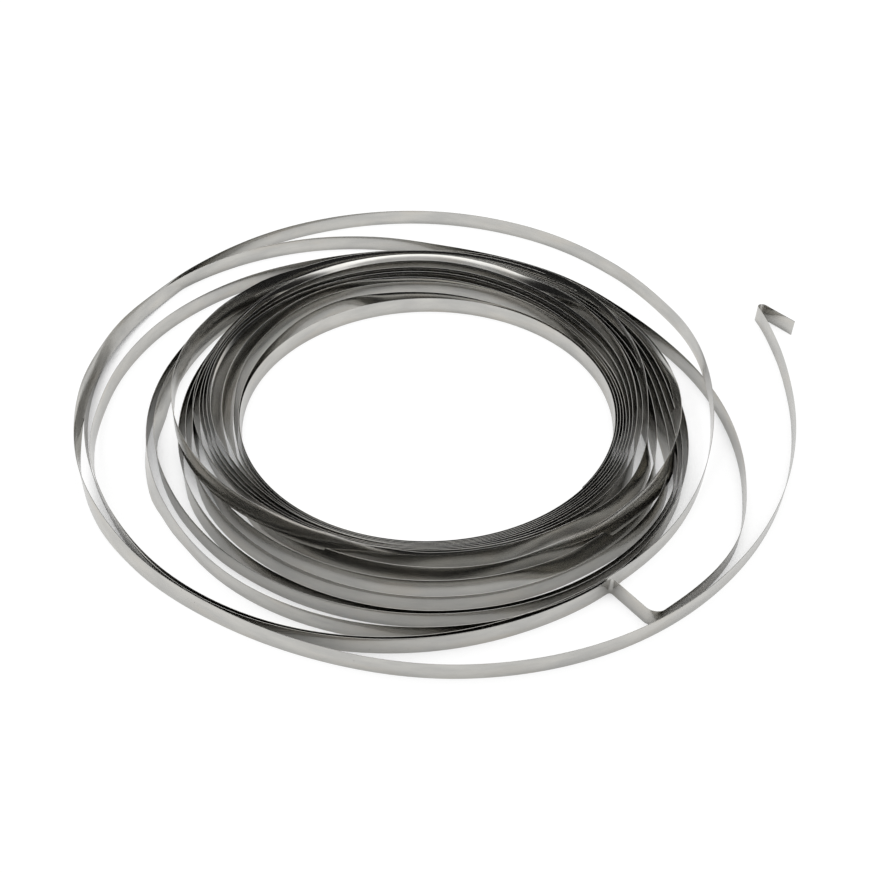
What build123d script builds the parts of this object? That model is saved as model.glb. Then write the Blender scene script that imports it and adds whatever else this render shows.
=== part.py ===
from build123d import *
from math import atan2, cos, degrees, radians, sin, sqrt
import os

# A loose coil of narrow bright steel strip, standing on its edge on a level floor.
# One length of strip makes the whole coil: the wound turns round the bore, the slack
# turns outside them, the kink on the way and the hooked tail.
# The origin is the middle of the bore at floor level, with +Z up along the bore.

strip_width = 8.0
strip_thickness = 0.2
bore_radius = 81.0

# The wound turns lie flat. Each turn is told by where it crosses the four sides of the
# coil, as the steps outwards from one turn to the next.
# The free inner end lies against the second turn, this far round from the right-hand side.
inner_end_angle = -40.0
first_step_right = 0.9
steps_right = (1.2, 1.6, 2.0, 2.2, 2.2, 2.2, 2.2, 2.4, 2.4, 2.4, 2.2, 2.0, 2.0, 1.8)
steps_back = (7.3, 1.2, 6.0, 1.4, 3.2, 3.2, 3.3, 2.5, 2.3, 2.5, 2.3, 2.3, 2.5, 2.3)
steps_left = (1.3, 1.8, 2.0, 2.2, 2.2, 2.2, 2.2, 2.2, 2.4, 2.4, 2.6, 2.8, 9.6, 2.4)
steps_front = (1.3, 1.2, 1.2, 1.2, 6.4, 1.2, 1.2, 5.6, 7.0, 4.8, 1.4, 1.4, 1.6, 4.6)

# The slack turns, as places on the strip: the angle round the bore, the reach outside
# the bore, and how far the strip's lower edge is off the floor. Angles go on past a turn.
# The strip is a full width up where it rides over a turn that it crosses.
slack_to_kink = (
    (28, 34.3, 0),
    (54, 39.4, 0),
    (78, 43.5, 0),
    (98, 46.0, 0),
    (116, 50.8, 0),
    (134, 57.6, 0),
    (152, 62.3, 0),
    (168, 63.5, 0),
    (181, 62.8, 0.7),
    (192, 61.6, 4.4),
    (203, 60.1, 8.6),
    (214, 58.0, 4.4),
    (226, 55.3, 0.6),
    (240, 51.8, 0),
    (256, 47.9, 0),
    (272, 44.3, 0),
    (288, 41.4, 0),
    (302, 39.5, 0),
)
slack_to_tail = (
    (325, 61.6, 0),
    (340, 55.6, 0),
    (355, 49.3, 0),
    (370, 43.5, 0),
    (384, 39.3, 0),
    (398, 38.0, 0),
    (416, 41.0, 0),
    (434, 44.8, 0),
    (448, 51.2, 0),
    (462, 62.2, 0),
    (476, 72.0, 0),
    (490, 78.4, 0),
    (505, 80.2, 0),
    (520, 77.0, 0),
    (536, 70.8, 0),
    (552, 64.2, 0),
    (568, 58.3, 0),
    (586, 53.0, 0),
    (606, 48.3, 0),
    (628, 43.5, 0),
    (650, 39.6, 0),
    (668, 38.3, 0),
    (684, 38.6, 0.1),
    (698, 39.3, 1.3),
    (710, 40.4, 4.5),
    (720, 41.8, 7.5),
    (730, 44.2, 8.5),
    (741, 49.2, 6),
    (754, 57.0, 1.6),
    (770, 66.8, 0.1),
    (790, 78.1, 0),
    (812, 86.8, 0),
    (836, 88.6, 0),
    (858, 84.4, 0),
    (878, 78.5, 0),
    (898, 72.0, 0),
    (918, 65.4, 0),
    (938, 59.4, 0),
    (956, 55.7, 0),
    (974, 55.1, 0),
    (996, 57.9, 0),
    (1020, 62.4, 0),
    (1044, 67.2, 0),
    (1066, 73.1, 0),
    (1084, 80.8, 0),
    (1096, 88.9, 0),
    (1104.5, 95.9, 0),
)

# The kink: a sharp fold outwards, a straight tab and a tight curve back into line.
fold_radius = 1.5
fold_angle = 84.0
tab_length = 15.5
return_radius = 5.0
return_angle = 72.0

# The tail ends in a hook: the strip is folded back on itself.
hook_radius = 2.3
hook_angle = 153.0
hook_flap_length = 18.0


def crossings(first, steps):
    """Where the middle of the strip crosses one side of the coil, turn by turn."""
    places = [first]
    for step in steps:
        places.append(places[-1] + step)
    return places


wound_start = bore_radius + strip_thickness / 2
right = crossings(wound_start + first_step_right, steps_right)
back = crossings(wound_start, steps_back)
left = crossings(wound_start, steps_left)
front = crossings(wound_start, steps_front)


def wound_side(offset):
    """One face of the wound strip in plan: quarter turns that meet in line."""
    arcs = [CenterArc((0, 0), wound_start + offset, inner_end_angle, 270 - inner_end_angle)]
    arcs.append(quarter_turn(right[0], front[0], 270, offset))
    for turn in range(1, len(back)):
        arcs.append(quarter_turn(right[turn - 1], back[turn], 0, offset))
        arcs.append(quarter_turn(left[turn], back[turn], 90, offset))
        arcs.append(quarter_turn(left[turn], front[turn], 180, offset))
        arcs.append(quarter_turn(right[turn], front[turn], 270, offset))
    return arcs


def quarter_turn(across, along, start, offset):
    """A quarter of an oval round the bore, from one side of the coil to the next."""
    return EllipticalCenterArc((0, 0), across + offset, along + offset, start, arc_size=90)


slack_lengths = []


def place(angle, reach, lift):
    """The middle of the strip at a place on a slack turn."""
    radius = bore_radius + reach
    turned = radians(angle)
    return Vector(radius * cos(turned), radius * sin(turned), lift + strip_width / 2)


def cut_face(end):
    """The strip's own section, at its cut end."""
    with BuildSketch(end) as section:
        Rectangle(strip_width, strip_thickness)
    return section.sketch.face()


def swing(end, centre, pivot, angle):
    """Carry the strip's cut end round an axis, leaving a bent length of strip behind it."""
    bent = revolve(cut_face(end), Axis(centre, pivot), angle, mode=Mode.PRIVATE)
    slack_lengths.append(bent)
    arm = (end.origin - centre).rotate(Axis((0, 0, 0), pivot), angle)
    up = end.x_dir.rotate(Axis((0, 0, 0), pivot), angle)
    ahead = end.z_dir.rotate(Axis((0, 0, 0), pivot), angle)
    return Plane(centre + arm, x_dir=up, z_dir=ahead)


def arc_to(end, target):
    """Bend the strip in one round arc from its end to the target."""
    chord = target - end.origin
    pivot = end.z_dir.cross(chord).normalized()
    inward = pivot.cross(end.z_dir)
    radius = chord.dot(chord) / (2 * chord.dot(inward))
    angle = 2 * degrees(atan2(chord.dot(inward), chord.dot(end.z_dir)))
    return swing(end, end.origin + inward * radius, pivot, angle)


def two_arcs_to(end, target, heading):
    """Reach the target along a given heading, with two arcs that meet in line."""
    chord = target - end.origin
    spread = 1 - end.z_dir.dot(heading)
    pull = chord.dot(end.z_dir + heading)
    arm = (sqrt(pull**2 + 2 * spread * chord.dot(chord)) - pull) / (2 * spread)
    middle = (end.origin + end.z_dir * arm + target - heading * arm) * 0.5
    return arc_to(arc_to(end, middle), target)


def follow(end, places):
    """Lay the strip through the places. It heads along the circle through its neighbours."""
    targets = [place(*row) for row in places]
    behind = end.origin
    for target, ahead in zip(targets, targets[1:]):
        run_in = target - behind
        run_out = ahead - target
        heading = run_in * (1 / run_in.dot(run_in)) + run_out * (1 / run_out.dot(run_out))
        end = two_arcs_to(end, target, heading.normalized())
        behind = target
    return arc_to(end, targets[-1])


def fold(end, radius, angle):
    """Bend the strip on the flat: to the left for a positive angle, else to the right."""
    outward = end.y_dir
    side = -1 if angle > 0 else 1
    return swing(end, end.origin + outward * radius * side, end.x_dir * -side, abs(angle))


def straight(end, length):
    """Run the strip straight on."""
    slack_lengths.append(extrude(cut_face(end), amount=length, mode=Mode.PRIVATE))
    return Plane(end.origin + end.z_dir * length, x_dir=end.x_dir, z_dir=end.z_dir)


with BuildPart() as steel_strip:
    with BuildSketch():
        with BuildLine():
            outer_side = wound_side(strip_thickness / 2)
            inner_side = wound_side(-strip_thickness / 2)
            Line(outer_side[0] @ 0, inner_side[0] @ 0)
            Line(outer_side[-1] @ 1, inner_side[-1] @ 1)
        make_face()
    extrude(amount=strip_width)

    strip_end = Plane((right[-1], 0, strip_width / 2), x_dir=(0, 0, 1), z_dir=(0, 1, 0))
    strip_end = follow(strip_end, slack_to_kink)
    strip_end = fold(strip_end, fold_radius, -fold_angle)
    strip_end = straight(strip_end, tab_length)
    strip_end = fold(strip_end, return_radius, return_angle)
    strip_end = follow(strip_end, slack_to_tail)
    strip_end = fold(strip_end, hook_radius, -hook_angle)
    strip_end = straight(strip_end, hook_flap_length)
    add(slack_lengths, clean=False)

os.makedirs("parts", exist_ok=True)
steel_strip.part.label = "steel_strip"
export_step(steel_strip.part, "parts/steel_strip.step")
print("steel_strip: volume", round(steel_strip.part.volume, 1), "mm3")
print("strip length", round(steel_strip.part.volume / strip_width / strip_thickness / 1000, 2), "m")
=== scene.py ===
# %% [markdown]
# # A loose coil of bright steel strip
#
# The part is one length of narrow cold-rolled steel strip, 8 mm wide and 0.2 mm thick, lying
# on a pale floor. It is wound on edge: a packed ring of turns round an open bore, then a few
# slack turns, a sharp kink, and a tail that ends in a hook.
#
# Each lesson cell below adds one thing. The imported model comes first, because everything
# in Blender stands in its frame, in metres, with the bore's middle at the origin.

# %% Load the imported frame
from math import asin, cos, degrees, hypot, pi, radians, sin

import bmesh
import bpy
from mathutils import Matrix, Vector


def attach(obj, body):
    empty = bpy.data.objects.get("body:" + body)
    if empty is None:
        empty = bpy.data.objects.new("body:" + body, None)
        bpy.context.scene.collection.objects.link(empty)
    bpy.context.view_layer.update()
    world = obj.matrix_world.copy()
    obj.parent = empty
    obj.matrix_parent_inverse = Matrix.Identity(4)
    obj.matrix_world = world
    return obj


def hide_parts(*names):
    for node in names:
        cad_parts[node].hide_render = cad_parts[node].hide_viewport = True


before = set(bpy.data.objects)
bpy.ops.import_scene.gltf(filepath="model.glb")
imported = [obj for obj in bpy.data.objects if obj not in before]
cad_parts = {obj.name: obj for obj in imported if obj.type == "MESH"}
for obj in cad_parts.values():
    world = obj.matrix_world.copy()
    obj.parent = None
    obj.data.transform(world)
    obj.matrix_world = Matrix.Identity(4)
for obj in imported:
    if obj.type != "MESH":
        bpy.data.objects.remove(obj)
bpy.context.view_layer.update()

print("packed nodes:", sorted(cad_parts))

# %% [markdown]
# ## The camera
#
# The photograph looks down on the coil from close by, so the near side looks larger than
# the far side. A free camera could be aimed by eye. Here its place was worked out from the
# width of the strip at many points of the picture, so it is given as plain numbers.

# %% Set the camera
MM = 0.001
photo_width_px = 874
focal_length_px = 1050
sensor_width = 36
camera_place = (4.1 * MM, -352.1 * MM, 300.2 * MM)
camera_tilt = 90 - 41.5
camera_data = bpy.data.cameras.new("camera")
camera_data.sensor_width = sensor_width
camera_data.lens = sensor_width * focal_length_px / photo_width_px
camera = bpy.data.objects.new("camera", camera_data)
camera.location = camera_place
camera.rotation_euler = (radians(camera_tilt), 0, 0)
bpy.context.scene.collection.objects.link(camera)
bpy.context.scene.camera = camera
print("lens", round(camera_data.lens, 2), "mm")

# %% [markdown]
# ## The route of the strip
#
# The strip has no shape of its own apart from the line it follows, so the line comes
# first. Loose spring steel never lies in neat rings: some turns nest close, others spread,
# a few ride up over their neighbours, and most lean a little, so each one mirrors something
# else. A spiral with random wobble would be quicker, but it wouldn't be this coil.
# So each wound turn is told by where its upper edge runs at twelve hours round the bore,
# as on a clock, and a few marks tell where it lifts off the floor and where it leans.
# A minus sign is a lean inwards.

# %% The wound turns
strip_width = 8.0
strip_thickness = 0.2
bore_radius = 81.0
inner_end_angle = -40
hours = 12
turn_radii = (
    (81.1, 81.1, 81.1, 81.1, 81.1, 81.1, 81.1, 81.2, 81.4, 81.4, 81.4, 81.6),
    (82.2, 82.4, 83.0, 87.3, 90.6, 85.0, 81.8, 81.8, 82.0, 82.1, 82.2, 82.8),
    (83.6, 85.2, 90.6, 95.6, 97.6, 91.4, 84.4, 83.2, 82.9, 82.8, 83.0, 84.0),
    (84.9, 86.8, 92.4, 100.5, 103.6, 97.5, 89.8, 84.8, 83.6, 83.4, 83.8, 85.2),
    (86.2, 88.8, 96.6, 106.0, 107.4, 103.8, 94.7, 86.8, 84.4, 84.0, 84.6, 86.2),
    (87.8, 92.6, 100.6, 110.0, 110.8, 105.6, 96.3, 88.5, 85.2, 84.6, 85.6, 87.3),
    (89.4, 96.2, 105.5, 116.3, 114.8, 106.8, 97.9, 90.2, 86.0, 85.2, 86.8, 88.5),
    (91.4, 99.8, 111.0, 121.6, 119.9, 107.9, 99.4, 91.9, 86.8, 85.9, 87.9, 90.5),
    (93.8, 101.3, 112.0, 121.9, 120.2, 108.2, 102.0, 99.6, 99.4, 100.8, 101.8, 100.8),
    (98.4, 103.3, 113.0, 122.2, 120.5, 108.6, 104.6, 103.2, 105.5, 108.3, 109.1, 107.8),
    (101.4, 105.8, 114.2, 122.5, 120.8, 109.2, 106.8, 108.2, 111.5, 114.7, 115.0, 111.8),
    (104.4, 108.6, 115.6, 122.8, 121.1, 120.0, 118.2, 114.7, 115.2, 116.2, 116.8, 113.2),
    (107.4, 111.2, 117.2, 123.1, 121.4, 110.2, 102.3, 93.8, 92.3, 94.0, 97.7, 103.4),
    (109.8, 113.8, 119.6, 125.6, 125.8, 118.3, 110.3, 100.3, 92.0, 86.9, 88.8, 94.2),
    (96.2, 107.0, 120.3, 126.3, 127.0, 122.6, 120.8, 119.5, 121.9, 122.0, 120.2, 114.6),
)
wound_angle = 360 * len(turn_radii)
wound_end_radius = 110.8
print("wound turns:", round((wound_angle - inner_end_angle) / 360, 1))

# %% [markdown]
# A few turns ride on their neighbours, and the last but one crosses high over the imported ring
# at the left and comes back to the outside at the right. Such a turn is told by marks: an
# angle in the turn and the height of the strip's foot there, in millimetres. Between two
# marks the height changes softly.

# %% Where the wound turns lift
lift_marks = {
    4: ((120, 0), (160, 0.8), (240, 0.8), (270, 0)),
    7: ((0, 0.6), (30, 1.0), (60, 2.0), (75, 2.6), (118, 2.6), (140, 1.0), (170, 0)),
    12: ((285, 0), (305, 3.4), (330, 5.0), (360, 4.5)),
    13: (
        (0, 4.5), (20, 2.0), (45, 0.3), (90, 0.6), (118, 1.6), (135, 4.6), (150, 6.4), (165, 8.3),
        (228, 8.4), (243, 6.6), (257, 3.0), (272, 0.2), (280, 0),
    ),
    14: ((0, 0), (15, 2.0), (45, 3.0), (75, 1.0), (100, 0)),
}
print("turns that ride up:", sorted(lift_marks))

# %% [markdown]
# A flat bright face shows whatever lies in the direction that it mirrors, so a few degrees
# of lean turn a light band dark. A mark for lean is an angle in the turn and the lean there,
# in degrees.

# %% Where the wound turns lean
lean_marks = {
    1: ((45, 0), (65, 20), (104, 20), (118, 0)),
    2: ((150, 0), (170, -5), (190, -5), (205, 0)),
    3: ((10, 0), (40, 18), (100, 18), (118, 5), (150, 14), (170, 14), (190, 16), (210, 0)),
    4: ((10, 0), (40, 20), (100, 20), (125, 8), (150, 16), (190, 18), (210, 0)),
    5: ((20, 0), (50, 18), (100, 18), (130, 6), (170, 0), (300, 0), (325, -8), (345, 0)),
    6: ((20, 0), (50, 16), (95, 13), (125, 3), (170, 0), (300, 0), (325, -14), (348, 0)),
    7: ((40, 0), (68, 46), (120, 46), (138, 12), (160, 0), (295, 0), (322, -26), (350, 0)),
    8: (
        (40, 0), (66, 23), (120, 23), (140, 0), (205, 0), (220, -12), (250, -7), (285, -8), (303, -26),
        (325, -38), (350, 0),
    ),
    9: (
        (40, 0), (66, 23), (120, 23), (140, 0), (200, 0), (216, -13), (240, -6), (260, 0), (300, 0),
        (325, -16), (350, 0),
    ),
    10: (
        (40, 0), (66, 23), (120, 23), (140, 0), (198, 0), (214, -10), (235, -8), (255, 0), (300, -3),
        (340, 0),
    ),
    11: (
        (40, 0), (66, 23), (120, 23), (145, 6), (165, 6), (180, 7), (190, -9), (210, -7), (222, -3),
        (240, 4), (265, 3), (290, -3), (340, 0),
    ),
    12: (
        (40, 0), (66, 23), (120, 23), (140, 0), (214, 0), (228, -22), (275, -20), (292, -14),
        (315, -24), (335, -30), (352, 0),
    ),
    13: (
        (0, 0), (20, 10), (50, 20), (90, 24), (125, 20), (150, 4), (165, 0), (180, -14), (205, -16),
        (250, -15), (264, -24), (288, -24), (305, -20), (325, -38), (340, -36), (357, 0),
    ),
    14: (
        (20, 0), (50, 18), (120, 20), (160, 2), (180, -11), (195, -21), (204, -23), (212, -13),
        (222, -5), (240, -2), (300, -4), (340, 0),
    ),
}
print("turns with a lean of their own:", sorted(lean_marks))


# %% Read a mark at any angle
def at_mark(marks, angle):
    """A value that runs softly from mark to mark, and is nothing outside them."""
    if not marks or angle < marks[0][0] or angle > marks[-1][0]:
        return 0.0
    for (first, low), (second, high) in zip(marks, marks[1:]):
        if angle <= second:
            t = (angle - first) / (second - first)
            return low + (high - low) * t * t * (3 - 2 * t)
    return 0.0


# %% The upper edge at any angle
hourly_radii = [radius for radii in turn_radii for radius in radii]
hour_angle = 360 / hours


def top_radius(angle):
    """Where the upper edge of the wound strip runs, by a cubic through the hourly radii."""
    hour = min(max(int(angle // hour_angle), 0), len(hourly_radii) - 1)
    t = angle / hour_angle - hour
    near = [hourly_radii[min(max(hour + i, 0), len(hourly_radii) - 1)] for i in (-1, 0, 1, 2)]
    if hour + 1 >= len(hourly_radii):
        near[2] = near[3] = wound_end_radius
    bow = 2 * near[0] - 5 * near[1] + 4 * near[2] - near[3]
    twist = 3 * (near[1] - near[2]) + near[3] - near[0]
    return near[1] + t * (near[2] - near[0] + t * (bow + t * twist)) / 2


print("upper edge at the start:", top_radius(0), "mm from the bore's middle")

# %% [markdown]
# All wound turns lean out at the two sides of the coil and stand straight at the front. The
# nested turns lean on the turn inside them, so a foot never goes closer to it than a small
# gap. The last turns lie over the ring and only stay clear of the bore.

# %% The lower edge at any angle
first_turn_lean = 6
left_lean, right_lean = 15, 26
front_fade = 0.45
last_nested_turn = 11
nested_gap = 0.35
rider_gap = 3


def foot_radius(angle):
    """Where the lower edge runs: leaning out to the upper edge, but clear of the turn inside."""
    turn, round_angle = divmod(angle, 360)
    to_right, to_back = cos(radians(angle)), sin(radians(angle))
    off_front = min(max(to_back / front_fade + 1, 0), 1)
    steepest = left_lean + (right_lean - left_lean) * max(to_right, 0)
    if turn < 1:
        steepest = first_turn_lean
    lean = steepest * to_right**2 * off_front + at_mark(lean_marks.get(turn), round_angle)
    foot = top_radius(angle) - strip_width * sin(radians(lean))
    if turn < 1:
        return max(foot, bore_radius + strip_thickness / 2)
    if turn <= last_nested_turn:
        return max(foot, foot_radius(angle - 360) + nested_gap)
    return max(foot, bore_radius + rider_gap)


print("lower edge at the start:", round(foot_radius(0), 2), "mm from the bore's middle")

# %% [markdown]
# The slack turns have room to wander, so they are told place by place. Each place has an
# angle, which goes on past a full turn, the reach outside the bore, the height of the foot
# and the lean. Where one slack turn crosses another, it rises by the strip's width.

# %% The slack turns, up to the kink and on to the tail
slack_to_kink = (
    (28, 34.3, 0, 0), (54, 39.4, 0, 0), (78, 43.5, 0, 0), (98, 46.0, 0, 0), (116, 49.6, 0, 0),
    (134, 56.2, 0, 0), (152, 61.1, 0, 0), (168, 62.5, 0, 0), (181, 61.8, 0.7, 0),
    (192, 60.9, 4.4, 0), (203, 59.8, 8.58, 0), (214, 58.2, 4.4, 0), (226, 55.9, 0.6, 0),
    (240, 52.8, 0, 0), (256, 48.8, 0, 0), (272, 45.2, 0, 0), (288, 41.9, 0, 0),
    (303.6, 39.6, 0, 0),
)
slack_to_tail = (
    (325, 61.8, 0, 0), (340, 55.6, 0, 0), (355, 49.3, 0, 0), (370, 43.5, 0, 0), (384, 39.3, 0, 0),
    (398, 38.0, 0, 0), (416, 41.0, 0, 0), (434, 44.8, 0, 0), (448, 50.7, 0, 0), (462, 61.6, 0, 0),
    (476, 71.4, 0, 0), (490, 78.1, 0, -4), (505, 81.1, 0, -12), (520, 77.0, 0, -13),
    (536, 70.2, 0, -7), (552, 63.4, 0, 0), (568, 58.0, 0, 0), (586, 54.5, 0, 0),
    (606, 50.3, 0, 0), (628, 44.9, 0, 0), (650, 39.8, 0, 0), (668, 38.3, 0, 0),
    (684, 38.6, 0.1, 0), (698, 39.3, 1.3, 0), (710, 40.4, 4.5, 0), (720, 41.8, 7.5, 0),
    (730, 44.2, 8.5, 0), (741, 49.2, 6.0, 0), (754, 57.0, 1.6, 0), (770, 66.8, 0.1, 0),
    (790, 78.1, 0, 0), (812, 86.2, 0, 0), (836, 87.0, 0, 3), (858, 81.8, 0.3, 3),
    (868, 77.6, 1.4, 6), (878, 73.7, 4.0, 11), (888, 69.3, 7.0, 13), (898, 67.4, 8.0, 14),
    (908, 66.0, 7.0, 11), (918, 65.9, 4.6, -2), (928, 64.2, 2.2, -15),
    (938, 60.6, 0.5, -13), (956, 55.6, 0, -9), (974, 54.5, 0, -3),
    (996, 57.6, 0, 0), (1020, 62.4, 0, 0), (1044, 67.2, 0, 0), (1066, 73.1, 0, 0),
    (1084, 80.8, 0, 0), (1096, 88.9, 0, 0), (1104.5, 95.9, 0, 0),
)
print("slack places:", len(slack_to_kink) + len(slack_to_tail))

# %% The kink and the hook
fold_radius, fold_angle = 1.5, 91.0
tab_length = 15.5
return_radius, return_angle = 5.0, 79.0
hook_radius, hook_angle, hook_flap_length = 2.3, 153.0, 17.3
fold_steps, return_steps, hook_steps = 8, 10, 16
print("bends:", fold_angle, return_angle, hook_angle, "degrees")

# %% [markdown]
# Between two places the strip has to run smoothly, because a flat bright face shows every
# corner in what it mirrors. Straight lines between places would look like bent wire. A cubic
# through each pair of places, with the slope carried over from one to the next, does not.


# %% Run smoothly through the places
def slopes(places):
    """How fast each value changes at each place, from the places on both sides."""
    found = [(0.0, 0.0, 0.0)]
    for before, after in zip(places, places[2:]):
        span = after[0] - before[0]
        found.append(tuple((after[i] - before[i]) / span for i in (1, 2, 3)))
    found.append(found[-1])
    return found


def between(places, rates, angle):
    """Reach, lift and lean at any angle."""
    index = 0
    while index < len(places) - 2 and places[index + 1][0] <= angle:
        index += 1
    first, second = places[index], places[index + 1]
    span = second[0] - first[0]
    t = (angle - first[0]) / span
    values = []
    for i in (1, 2, 3):
        start, end = first[i], second[i]
        leave, arrive = rates[index][i - 1] * span, rates[index + 1][i - 1] * span
        values.append(
            start * (2 * t**3 - 3 * t**2 + 1) + leave * (t**3 - 2 * t**2 + t)
            + end * (3 * t**2 - 2 * t**3) + arrive * (t**3 - t**2)
        )
    return values


# %% [markdown]
# The strip is carried along the line by stations, each a place with three directions:
# outwards, ahead and up the strip's width. A curve with a bevel would set the lean by itself.
# Stations keep it in hand, and a bend on the flat is only a station turned round a pivot.

# %% Foot and lean at any angle
steepest_sine = 0.95


def wound_edges(angle):
    """Foot and lean of the strip on the wound turns."""
    turn, round_angle = divmod(angle, 360)
    foot, top = foot_radius(angle), top_radius(angle)
    outwards = Vector((cos(radians(angle)), sin(radians(angle)), 0))
    lift = at_mark(lift_marks.get(turn), round_angle)
    across = max(-steepest_sine, min(steepest_sine, (top - foot) / strip_width))
    return outwards * foot + Vector((0, 0, lift)), degrees(asin(across))


def slack_edges(places, rates, angle):
    """Foot and lean of the strip on the slack turns."""
    reach, lift, lean = between(places, rates, angle)
    outwards = Vector((cos(radians(angle)), sin(radians(angle)), 0))
    return outwards * (bore_radius + reach) + Vector((0, 0, max(lift, 0.0))), lean


# %% A station on the strip
look_ahead = 0.5


def station(edges, angle, first, last):
    """The strip's frame at an angle: outwards, ahead and up its width, from its middle."""
    foot, lean = edges(angle)
    ahead = edges(min(angle + look_ahead, last))[0] - edges(max(angle - look_ahead, first))[0]
    ahead.normalize()
    outwards = ahead.cross(Vector((0, 0, 1))).normalized()
    up = outwards.cross(ahead)
    tilt = radians(lean)
    up, outwards = up * cos(tilt) + outwards * sin(tilt), outwards * cos(tilt) - up * sin(tilt)
    frame_columns = Matrix((outwards, ahead, up)).transposed().to_4x4()
    return Matrix.Translation(foot + up * (strip_width / 2)) @ frame_columns


def walk(edges, first, last, step):
    """Stations from one angle to another, a small step at a time."""
    count = max(1, round((last - first) / step))
    return [station(edges, first + (last - first) * i / count, first, last) for i in range(count + 1)]


# %% A bend on the flat
def bend(start, radius, angle, steps):
    """Stations round a bend on the flat, to the left for a positive angle."""
    side = -1 if angle > 0 else 1
    pivot = start @ Matrix.Translation((radius * side, 0, 0))
    back_to_strip = Matrix.Translation((-radius * side, 0, 0))
    turns = [Matrix.Rotation(radians(angle) * i / steps, 4, "Z") for i in range(1, steps + 1)]
    return [pivot @ turn @ back_to_strip for turn in turns]


# %% Lay out the wound turns and the slack up to the kink
wound_step, slack_step = 2.5, 1.5


def lay_slack(places, rates):
    """Stations through the places of a slack length, without the first, which is there already."""
    return walk(lambda at: slack_edges(places, rates, at), places[0][0], places[-1][0], slack_step)[1:]


before_kink = [(wound_angle, wound_end_radius - bore_radius, 0, 0)]
before_kink += [(angle + wound_angle, *rest) for angle, *rest in slack_to_kink]
before_rates = slopes(before_kink)
before_rates[0] = before_rates[1]
route = walk(wound_edges, inner_end_angle, wound_angle, wound_step)
route += lay_slack(before_kink, before_rates)
print("stations to the kink:", len(route))

# %% Lay out the kink, the tail and the hook
route += bend(route[-1], fold_radius, -fold_angle, fold_steps)
route.append(route[-1] @ Matrix.Translation((0, tab_length, 0)))
route += bend(route[-1], return_radius, return_angle, return_steps)
tab_end = route[-1].translation
tab_angle = degrees(Vector((tab_end.x, tab_end.y)).angle_signed(Vector((1, 0))))
tab_reach = hypot(tab_end.x, tab_end.y) - bore_radius
after_kink = [(tab_angle % 360, tab_reach, 0, 0)] + list(slack_to_tail)
route += lay_slack(after_kink, slopes(after_kink))
route += bend(route[-1], hook_radius, -hook_angle, hook_steps)
route.append(route[-1] @ Matrix.Translation((0, hook_flap_length, 0)))
route_length = sum((b.translation - a.translation).length for a, b in zip(route, route[1:]))
print("stations:", len(route), "length:", round(route_length / 1000, 2), "m")

# %% [markdown]
# ## The strip
#
# Slit strip has a flat face on each side and softly rounded edges, and those edges catch
# the light as fine bright lines. A ready-made tube would be round all over. So the strip
# starts as its own cross-section, a thin rectangle with bevelled corners, and that section
# is extruded from station to station.


# %% Draw the cross-section
edge_rounding = strip_thickness * 0.49
edge_segments = 3
cuts_across = 3


def draw_section(mesh):
    """A closed ring of edges: the strip's section, lying across the first station."""
    made = bmesh.ops.create_grid(mesh, x_segments=1, y_segments=1, size=0.5)
    bmesh.ops.scale(mesh, vec=(strip_thickness, strip_width, 1), verts=made["verts"])
    bmesh.ops.bevel(
        mesh, geom=list(mesh.verts), offset=edge_rounding, segments=edge_segments, profile=0.5,
        affect="VERTICES", material=-1,
    )
    bmesh.ops.delete(mesh, geom=list(mesh.faces), context="FACES_ONLY")
    long_edges = [e for e in mesh.edges if e.calc_length() > strip_width / 2]
    bmesh.ops.subdivide_edges(mesh, edges=long_edges, cuts=cuts_across)
    bmesh.ops.rotate(mesh, matrix=Matrix.Rotation(pi / 2, 3, "X"), verts=list(mesh.verts))
    return list(mesh.edges)


# %% [markdown]
# Each ring of points also keeps two numbers: how far along the strip it is, and how far
# across. The finish reads them later. The strip is drawn in short lengths that are merged,
# because one long extrusion grows slow.

# %% Draw a length of strip
def draw_length(stations, distance):
    """The section extruded from station to station, and the distance reached."""
    mesh = bmesh.new()
    ring = draw_section(mesh)
    across = mesh.verts.layers.float.new("across")
    along = mesh.verts.layers.float.new("along")
    for vert in mesh.verts:
        vert[across] = vert.co.z
        vert[along] = distance
    bmesh.ops.transform(mesh, matrix=stations[0], verts=list(mesh.verts))
    for behind, here in zip(stations, stations[1:]):
        grown = bmesh.ops.extrude_edge_only(mesh, edges=ring)["geom"]
        moved = [item for item in grown if isinstance(item, bmesh.types.BMVert)]
        ring = [item for item in grown if isinstance(item, bmesh.types.BMEdge)]
        bmesh.ops.transform(mesh, matrix=here @ behind.inverted(), verts=moved)
        distance += (here.translation - behind.translation).length
        for vert in moved:
            vert[along] = distance
    made = bpy.data.meshes.new("length")
    mesh.to_mesh(made)
    mesh.free()
    return made, distance


# %% Draw the whole strip and close its ends
stations_a_length = 40
merge_distance = 0.0005
between_the_ends = 100
strip = bmesh.new()
distance = 0.0
for first in range(0, len(route) - 1, stations_a_length):
    length, distance = draw_length(route[first:first + stations_a_length + 1], distance)
    strip.from_mesh(length)
    bpy.data.meshes.remove(length)
bmesh.ops.remove_doubles(strip, verts=list(strip.verts), dist=merge_distance)
open_edges = [e for e in strip.edges if e.is_boundary]
for inner in (True, False):
    cut_end = [e for e in open_edges if (e.verts[0].co.length < between_the_ends) == inner]
    bmesh.ops.contextual_create(strip, geom=cut_end)
print("open edges:", sum(e.is_boundary for e in strip.edges))

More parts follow.
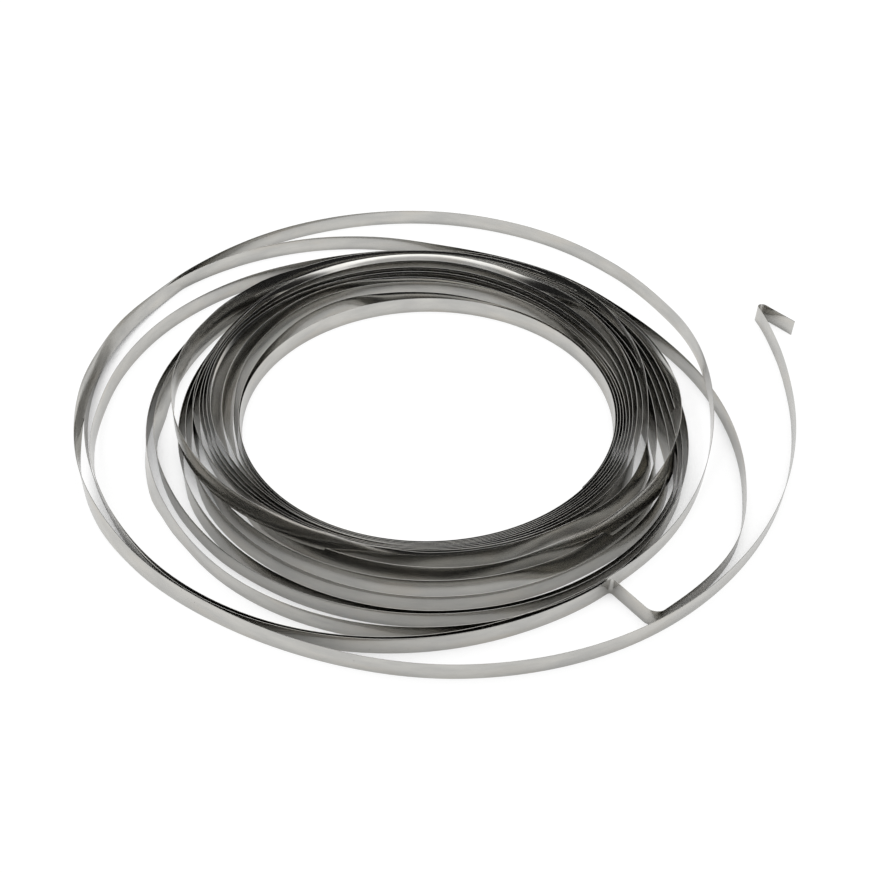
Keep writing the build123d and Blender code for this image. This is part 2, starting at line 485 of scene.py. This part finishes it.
# %% Hand the strip to an object, in metres
bmesh.ops.scale(strip, vec=(MM, MM, MM), verts=list(strip.verts))
bmesh.ops.recalc_face_normals(strip, faces=list(strip.faces))
for face in strip.faces:
    face.smooth = True
strip_mesh = bpy.data.meshes.new("coil_strip")
strip.to_mesh(strip_mesh)
strip.free()
coil_strip = bpy.data.objects.new("coil_strip", strip_mesh)
bpy.context.scene.collection.objects.link(coil_strip)
print("strip faces:", len(strip_mesh.polygons))

# %% [markdown]
# ## The finish
#
# Cold rolling leaves the strip bright but not like a mirror: fine lines run along its whole
# length, the coiling oil and handling leave faint warm and cool patches, and a few specks
# sit on the face. A picture could be laid over it. Here everything is made from noise that
# is stretched along the strip, so it follows each turn and never repeats.


# %% Start the finish
finish = bpy.data.materials.new("bright_strip")
finish.use_nodes = True
nodes, links = finish.node_tree.nodes, finish.node_tree.links
shader = nodes["Principled BSDF"]
shader.inputs["Metallic"].default_value = 1.0
print("finish:", finish.name)


# %% Helpers for the node tree in hand
def plug(socket, value):
    """Give a socket another node's output, a colour or a plain number."""
    if isinstance(value, bpy.types.NodeSocket):
        links.new(value, socket)
    elif isinstance(value, tuple):
        socket.default_value = (*value, 1)
    else:
        socket.default_value = value


def computed(operation, first, second):
    """Two values put together by a Math node."""
    node = nodes.new("ShaderNodeMath")
    node.operation = operation
    plug(node.inputs[0], first)
    plug(node.inputs[1], second)
    return node.outputs[0]


def ranged(value, low, high, to_low, to_high, interpolation="LINEAR"):
    """A value carried from one range to another."""
    node = nodes.new("ShaderNodeMapRange")
    node.interpolation_type = interpolation
    links.new(value, node.inputs["Value"])
    node.inputs["From Min"].default_value = low
    node.inputs["From Max"].default_value = high
    node.inputs["To Min"].default_value = to_low
    node.inputs["To Max"].default_value = to_high
    return node.outputs["Result"]


def blended(share, first, second):
    """Two colours, or a colour and a socket, mixed by a share."""
    node = nodes.new("ShaderNodeMix")
    node.data_type = "RGBA"
    links.new(share, node.inputs["Factor"])
    plug(node.inputs[6], first)
    plug(node.inputs[7], second)
    return node.outputs[2]


# %% Noise that follows the strip
def reading(name):
    """The distance along or across the strip, in millimetres, as left by the extrusion."""
    node = nodes.new("ShaderNodeAttribute")
    node.attribute_name = name
    return node.outputs["Fac"]


def noise(along_scale, across_scale, detail, offset):
    """Noise in the strip's own measure: so many patches per millimetre each way."""
    place = nodes.new("ShaderNodeCombineXYZ")
    links.new(computed("MULTIPLY", reading("along"), along_scale), place.inputs[0])
    links.new(computed("MULTIPLY", reading("across"), across_scale), place.inputs[1])
    place.inputs[2].default_value = offset
    node = nodes.new("ShaderNodeTexNoise")
    node.inputs["Scale"].default_value = 1.0
    node.inputs["Detail"].default_value = detail
    links.new(place.outputs[0], node.inputs["Vector"])
    return node.outputs["Fac"]


rolling_lines = noise(along_scale=0.03, across_scale=9.0, detail=3, offset=0)
patches = noise(along_scale=0.05, across_scale=0.18, detail=4, offset=7)
warm_patches = noise(along_scale=0.035, across_scale=0.12, detail=2, offset=19)
specks = noise(along_scale=0.9, across_scale=0.9, detail=1, offset=31)
print("noises: rolling lines, patches, warm patches and specks")

# %% Mix the colour, the gloss and the relief
dull_steel = (0.465, 0.462, 0.445)
clean_steel = (0.56, 0.55, 0.52)
warm_steel = (0.54, 0.50, 0.44)
rolled_steel = (0.60, 0.59, 0.57)
speck_brown = (0.12, 0.10, 0.08)
line_strength = 0.35
line_depth = 0.00001
colour = blended(ranged(patches, 0.38, 0.64, 0, 1), dull_steel, clean_steel)
colour = blended(ranged(warm_patches, 0.52, 0.70, 0, 0.55), colour, warm_steel)
colour = blended(ranged(rolling_lines, 0.30, 0.75, 0, 0.35), colour, rolled_steel)
colour = blended(ranged(specks, 0.80, 0.83, 0, 0.7), colour, speck_brown)
links.new(colour, shader.inputs["Base Color"])
links.new(ranged(rolling_lines, 0.25, 0.80, 0.13, 0.21), shader.inputs["Roughness"])
relief = nodes.new("ShaderNodeBump")
relief.inputs["Strength"].default_value = line_strength
relief.inputs["Distance"].default_value = line_depth
links.new(rolling_lines, relief.inputs["Height"])
links.new(relief.outputs["Normal"], shader.inputs["Normal"])
strip_mesh.materials.append(finish)
print("finish nodes:", len(nodes))

# %% [markdown]
# ## The floor
#
# The coil lies on plain pale paper that comes out white in the picture. More light would
# bleach the steel too. So the paper glows a little, but only for what looks at it straight
# or in a mirror: the camera and the bright strip. In the narrow gaps between turns it
# glows less, as real paper does where little light gets in, and its matte part keeps the
# coil's shadow.

# %% Lay the floor
floor_half_width = 4
floor_colour = (0.8, 0.8, 0.8)
floor_mesh = bpy.data.meshes.new("floor")
floor_bm = bmesh.new()
bmesh.ops.create_grid(floor_bm, x_segments=1, y_segments=1, size=floor_half_width)
floor_bm.to_mesh(floor_mesh)
floor_bm.free()
floor = bpy.data.objects.new("floor", floor_mesh)
bpy.context.scene.collection.objects.link(floor)
print("floor:", 2 * floor_half_width, "m across")

# %% How much of the floor glows
gap_reach = 0.03
gap_samples = 6
paper = bpy.data.materials.new("paper")
paper.use_nodes = True
nodes, links = paper.node_tree.nodes, paper.node_tree.links
nodes.clear()
rays = nodes.new("ShaderNodeLightPath")
gaps = nodes.new("ShaderNodeAmbientOcclusion")
gaps.samples = gap_samples
gaps.inputs["Distance"].default_value = gap_reach


def lit_share(ray, most, low, high):
    """The share that glows for one kind of ray: less in the gaps between the turns."""
    open_share = ranged(gaps.outputs["AO"], low, high, 0, most, "SMOOTHSTEP")
    return computed("MULTIPLY", rays.outputs[ray], open_share)


seen = lit_share("Is Camera Ray", most=0.8, low=0.08, high=0.42)
mirrored = lit_share("Is Glossy Ray", most=0.72, low=0.25, high=0.75)
glowing = computed("ADD", seen, mirrored)
print("glow for the camera and for mirrors")

# %% Paper that glows and keeps a shadow
glow_strength = 1.12
out = nodes.new("ShaderNodeOutputMaterial")
matte = nodes.new("ShaderNodeBsdfDiffuse")
plug(matte.inputs["Color"], floor_colour)
glow = nodes.new("ShaderNodeEmission")
glow.inputs["Strength"].default_value = glow_strength
mix = nodes.new("ShaderNodeMixShader")
links.new(glowing, mix.inputs[0])
links.new(matte.outputs[0], mix.inputs[1])
links.new(glow.outputs[0], mix.inputs[2])
links.new(mix.outputs[0], out.inputs[0])
floor_mesh.materials.append(paper)
print("paper nodes:", len(nodes))

# %% [markdown]
# ## The light
#
# Bright steel has hardly any colour of its own: it shows its surroundings. In the picture
# the strip mirrors a bright ceiling and a bright wall behind the coil, with a dark band
# between them and the floor, and that band draws the dark lines. Lamps all round would
# make every turn grey. So the world is an even light for all matte things, and only what
# the strip mirrors has the ceiling, the wall and the dark band. One broad, weak softbox
# overhead gives the coil its soft shadow.

# %% The surroundings
plain_level = 0.75
dark_band = 0.015
world = bpy.data.worlds.new("studio")
bpy.context.scene.world = world
world.use_nodes = True
nodes, links = world.node_tree.nodes, world.node_tree.links
sky = nodes["Background"]
plug(sky.inputs["Color"], (1, 1, 1))
direction = nodes.new("ShaderNodeTexCoord")
parts = nodes.new("ShaderNodeSeparateXYZ")
links.new(direction.outputs["Generated"], parts.inputs[0])
ceiling = ranged(parts.outputs["Z"], 0.72, 0.96, dark_band, 1, "SMOOTHSTEP")
wall = ranged(parts.outputs["Y"], 0.35, 0.70, 0, 1, "SMOOTHSTEP")
brighter = computed("MAXIMUM", ceiling, wall)
rays = nodes.new("ShaderNodeLightPath")
level = nodes.new("ShaderNodeMix")
level.data_type = "FLOAT"
level.inputs["A"].default_value = plain_level
links.new(rays.outputs["Is Glossy Ray"], level.inputs["Factor"])
links.new(brighter, level.inputs["B"])
links.new(level.outputs["Result"], sky.inputs["Strength"])
print("world nodes:", len(nodes))

# %% The softbox
softbox_size = (1.6, 1.2)
softbox_place = (0, 0.2, 1.4)
softbox_power = 6
lamp_data = bpy.data.lights.new("softbox", "AREA")
lamp_data.shape = "RECTANGLE"
lamp_data.size, lamp_data.size_y = softbox_size
lamp_data.energy = softbox_power
lamp = bpy.data.objects.new("softbox", lamp_data)
lamp.location = softbox_place
bpy.context.scene.collection.objects.link(lamp)
bpy.context.scene.view_settings.view_transform = "Standard"
print("softbox:", softbox_power, "W")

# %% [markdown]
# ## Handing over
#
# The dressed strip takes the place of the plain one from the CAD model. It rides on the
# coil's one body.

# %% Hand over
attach(coil_strip, "root")
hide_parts("steel_strip")
